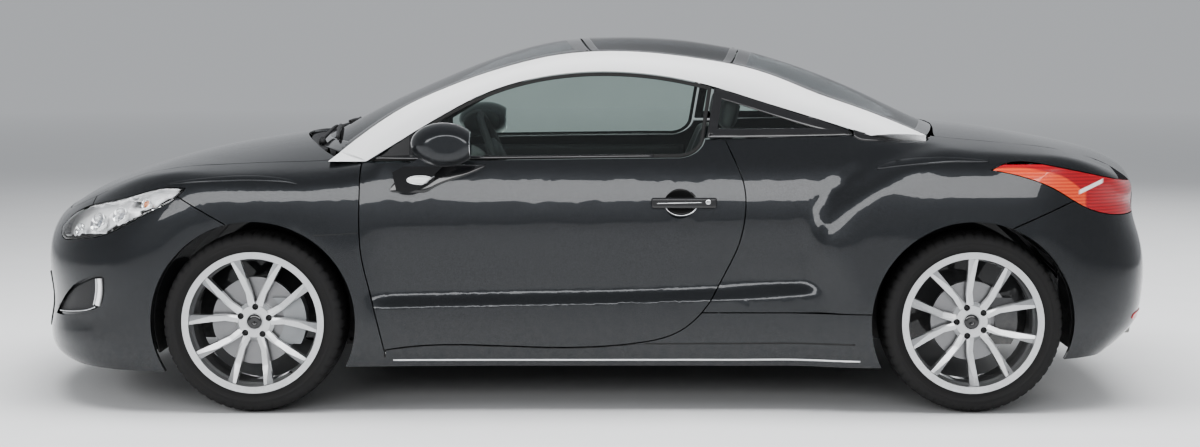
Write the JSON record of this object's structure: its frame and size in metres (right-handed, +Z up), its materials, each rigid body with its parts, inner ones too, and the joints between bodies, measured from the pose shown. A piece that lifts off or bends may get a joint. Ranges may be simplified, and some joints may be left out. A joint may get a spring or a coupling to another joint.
{
  "type": "coupe car",
  "caption": "Compact two-door coupe with a glass roof between silver arches, hinged doors, bonnet and boot lid, spoked wheels that turn and steered front wheels.",
  "frame": {"origin": "on the ground, midway along and across the car", "axes": "+X to the rear, +Z up, the driver side on -Y"},
  "size_m": [4.2874, 2.1, 1.3598],
  "materials": {
    "paint": "metallic gloss",
    "body_metal": "satin",
    "satin_silver": "satin",
    "wheel_alloy": "painted silver",
    "disc_iron": "machined",
    "cast_metal": "as cast",
    "exhaust_steel": "satin",
    "dark_plastic": "matte",
    "cabin_plastic": "grained",
    "gloss_black": "gloss",
    "seat_cloth": "woven",
    "clear_glass": "polished",
    "lamp_glass": "polished",
    "red_lens": "gloss",
    "tyre": "moulded"
  },
  "bodies": {
    "base": {"body_shell": "body_metal", "cowl": "dark_plastic", "dashboard": "cabin_plastic", "engine_block": "cast_metal", "exhaust": "exhaust_steel", "front_bumper": "paint", "front_fenders": "paint", "front_seats": "seat_cloth", "front_subframe": "body_metal", "grille": "dark_plastic", "headlamps": "lamp_glass", "quarter_glass": "clear_glass", "quarter_panels": "paint", "rear_axle": "body_metal", "rear_bumper": "paint", "rear_glass": "clear_glass", "rear_seat": "seat_cloth", "roof_arches": "satin_silver", "roof_panel": "clear_glass", "side_skirts": "paint", "tail_lamps": "red_lens", "windscreen": "clear_glass"},
    "steer_left": {"knuckle_left": "cast_metal"},
    "steer_right": {"knuckle_right": "cast_metal"},
    "door_left": {"door_left": "paint", "door_glass_left": "clear_glass", "mirror_left": "paint", "handle_left": "gloss_black"},
    "door_right": {"door_right": "paint", "door_glass_right": "clear_glass", "mirror_right": "paint", "handle_right": "gloss_black"},
    "bonnet": {"bonnet": "paint"},
    "boot_lid": {"boot_lid": "paint"},
    "steering_wheel": {"steering_wheel": "cabin_plastic"},
    "wheel_fl": {"tyre_fl": "tyre", "rim_fl": "wheel_alloy", "brake_disc_fl": "disc_iron"},
    "wheel_fr": {"tyre_fr": "tyre", "rim_fr": "wheel_alloy", "brake_disc_fr": "disc_iron"},
    "wheel_rl": {"tyre_rl": "tyre", "rim_rl": "wheel_alloy", "brake_disc_rl": "disc_iron"},
    "wheel_rr": {"tyre_rr": "tyre", "rim_rr": "wheel_alloy", "brake_disc_rr": "disc_iron"}
  },
  "joints": [
    {"name": "steer_left", "type": "hinge", "parent": "base", "child": "steer_left", "pos_m": [-1.2035, -0.74, 0.33], "axis": [0, 0, 1], "range_deg": [-35, 35]},
    {"name": "steer_right", "type": "hinge", "parent": "base", "child": "steer_right", "pos_m": [-1.2035, 0.74, 0.33], "axis": [0, 0, 1], "range_deg": [-35, 35]},
    {"name": "wheel_fl", "type": "hinge", "parent": "steer_left", "child": "wheel_fl", "pos_m": [-1.2035, -0.79, 0.33], "axis": [0, 1, 0], "continuous": true},
    {"name": "wheel_fr", "type": "hinge", "parent": "steer_right", "child": "wheel_fr", "pos_m": [-1.2035, 0.79, 0.33], "axis": [0, 1, 0], "continuous": true},
    {"name": "wheel_rl", "type": "hinge", "parent": "base", "child": "wheel_rl", "pos_m": [1.4085, -0.7965, 0.33], "axis": [0, 1, 0], "continuous": true},
    {"name": "wheel_rr", "type": "hinge", "parent": "base", "child": "wheel_rr", "pos_m": [1.4085, 0.7965, 0.33], "axis": [0, 1, 0], "continuous": true},
    {"name": "steering_wheel", "type": "hinge", "parent": "base", "child": "steering_wheel", "pos_m": [-0.345, -0.375, 0.905], "axis": [0.9135, 0, 0.4067], "range_deg": [-540, 540]},
    {"name": "door_left", "type": "hinge", "parent": "base", "child": "door_left", "pos_m": [-0.7, -0.856, 0.5], "axis": [0, 0, -1], "range_deg": [0, 65]},
    {"name": "door_right", "type": "hinge", "parent": "base", "child": "door_right", "pos_m": [-0.7, 0.856, 0.5], "axis": [0, 0, 1], "range_deg": [0, 65]},
    {"name": "bonnet", "type": "hinge", "parent": "base", "child": "bonnet", "pos_m": [-0.99, 0, 0.92], "axis": [0, 1, 0], "range_deg": [0, 50]},
    {"name": "boot_lid", "type": "hinge", "parent": "base", "child": "boot_lid", "pos_m": [1.281, 0, 0.993], "axis": [0, -1, 0], "range_deg": [0, 70]}
  ],
  "couplings": [
    {"joint": "steer_right", "follows": "steer_left", "ratio": 1},
    {"joint": "steering_wheel", "follows": "steer_left", "ratio": 15.4}
  ]
}
